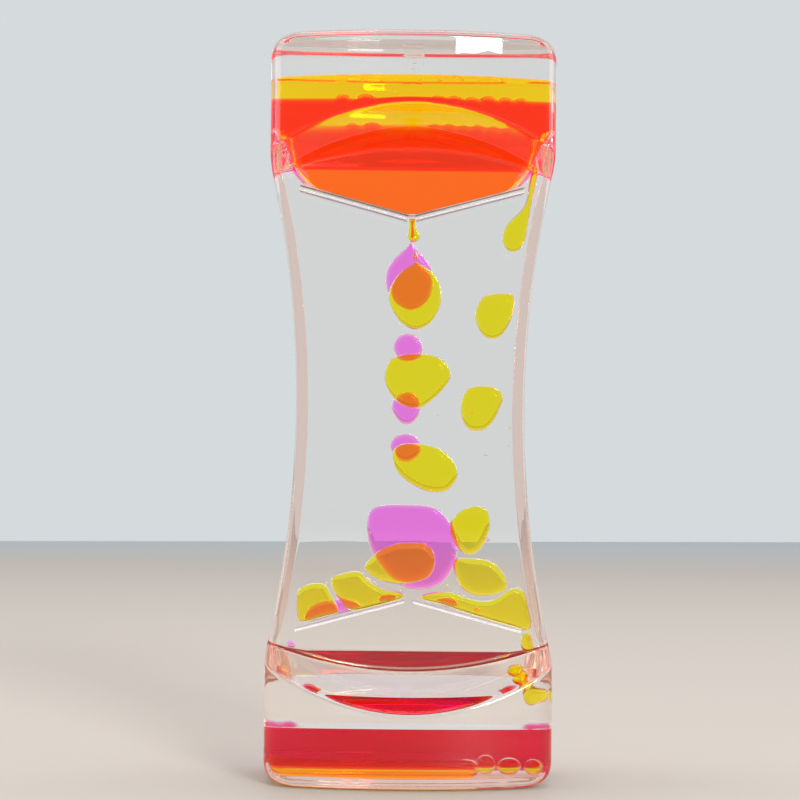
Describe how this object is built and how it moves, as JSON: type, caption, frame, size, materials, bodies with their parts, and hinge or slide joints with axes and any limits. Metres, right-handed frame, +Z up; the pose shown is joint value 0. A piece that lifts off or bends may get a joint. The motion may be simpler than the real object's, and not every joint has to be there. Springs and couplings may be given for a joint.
{
  "type": "liquid motion timer",
  "caption": "Clear hourglass-shaped desk timer in which yellow and pink liquid drip through sloping slats from the head to the foot.",
  "frame": {"origin": "centre of the base, in the plane where the two shells meet, on the surface that the timer stands on", "axes": "+Z up, +X to the right in the front view, -Y out of the front face, where the yellow chamber lies"},
  "size_m": [0.0594, 0.038, 0.1563],
  "materials": {
    "clear_shell": "clear, polished, moulded",
    "partition_sheet": "clear, polished sheet",
    "slat_acrylic": "clear, with bright cut edges",
    "seal_plug": "clear, slightly peach",
    "yellow_liquid": "clear dyed liquid",
    "pink_liquid": "clear dyed liquid"
  },
  "bodies": {
    "housing": {"front_shell": "clear_shell", "rear_shell": "clear_shell", "centre_partition": "partition_sheet", "front_upper_left_slat": "slat_acrylic", "front_upper_right_slat": "slat_acrylic", "front_lower_left_slat": "slat_acrylic", "front_lower_right_slat": "slat_acrylic", "rear_upper_left_slat": "slat_acrylic", "rear_upper_right_slat": "slat_acrylic", "rear_lower_left_slat": "slat_acrylic", "rear_lower_right_slat": "slat_acrylic", "front_fill_plug": "seal_plug", "rear_fill_plug": "seal_plug", "yellow_head_liquid": "yellow_liquid", "pink_head_liquid": "pink_liquid", "yellow_foot_pool": "yellow_liquid", "pink_foot_pool": "pink_liquid", "yellow_foot_beads": "yellow_liquid", "yellow_wall_bead": "yellow_liquid", "yellow_orifice_drop": "yellow_liquid", "pink_orifice_drop": "pink_liquid", "yellow_leak_drop": "yellow_liquid", "yellow_foot_leak": "yellow_liquid", "yellow_heap_centre": "yellow_liquid", "yellow_heap_far_left": "yellow_liquid", "yellow_heap_left": "yellow_liquid", "yellow_heap_right": "yellow_liquid", "yellow_heap_low_right": "yellow_liquid", "yellow_heap_high_right": "yellow_liquid", "pink_heap_centre": "pink_liquid", "pink_heap_far_left": "pink_liquid", "pink_heap_left": "pink_liquid", "pink_heap_right": "pink_liquid"},
    "yellow_drop_1": {"yellow_drop_1": "yellow_liquid"},
    "yellow_drop_2": {"yellow_drop_2": "yellow_liquid"},
    "yellow_drop_3": {"yellow_drop_3": "yellow_liquid"},
    "pink_drop_1": {"pink_drop_1": "pink_liquid"},
    "pink_drop_2": {"pink_drop_2": "pink_liquid"},
    "pink_drop_3": {"pink_drop_3": "pink_liquid"},
    "pink_drop_4": {"pink_drop_4": "pink_liquid"},
    "yellow_side_drop_1": {"yellow_side_drop_1": "yellow_liquid"},
    "yellow_side_drop_2": {"yellow_side_drop_2": "yellow_liquid"}
  },
  "joints": [
    {"name": "yellow_fall_1", "type": "slide", "parent": "housing", "child": "yellow_drop_1", "axis": [0, 0, -1], "range_m": [0, 0.006]},
    {"name": "yellow_fall_2", "type": "slide", "parent": "housing", "child": "yellow_drop_2", "axis": [0, 0, -1], "range_m": [0, 0.006]},
    {"name": "yellow_fall_3", "type": "slide", "parent": "housing", "child": "yellow_drop_3", "axis": [0, 0, -1], "range_m": [0, 0.006]},
    {"name": "pink_fall_1", "type": "slide", "parent": "housing", "child": "pink_drop_1", "axis": [0, 0, -1], "range_m": [0, 0.008]},
    {"name": "pink_fall_2", "type": "slide", "parent": "housing", "child": "pink_drop_2", "axis": [0, 0, -1], "range_m": [0, 0.008]},
    {"name": "pink_fall_3", "type": "slide", "parent": "housing", "child": "pink_drop_3", "axis": [0, 0, -1], "range_m": [0, 0.008]},
    {"name": "pink_fall_4", "type": "slide", "parent": "housing", "child": "pink_drop_4", "axis": [0, 0, -1], "range_m": [0, 0.008]},
    {"name": "yellow_side_fall_1", "type": "slide", "parent": "housing", "child": "yellow_side_drop_1", "axis": [0, 0, -1], "range_m": [0, 0.009]},
    {"name": "yellow_side_fall_2", "type": "slide", "parent": "housing", "child": "yellow_side_drop_2", "axis": [0, 0, -1], "range_m": [0, 0.009]}
  ],
  "couplings": [
    {"joint": "yellow_fall_2", "follows": "yellow_fall_1", "ratio": 1},
    {"joint": "yellow_fall_3", "follows": "yellow_fall_1", "ratio": 1},
    {"joint": "pink_fall_2", "follows": "pink_fall_1", "ratio": 1},
    {"joint": "pink_fall_3", "follows": "pink_fall_1", "ratio": 1},
    {"joint": "pink_fall_4", "follows": "pink_fall_1", "ratio": 1},
    {"joint": "yellow_side_fall_2", "follows": "yellow_side_fall_1", "ratio": 1}
  ]
}
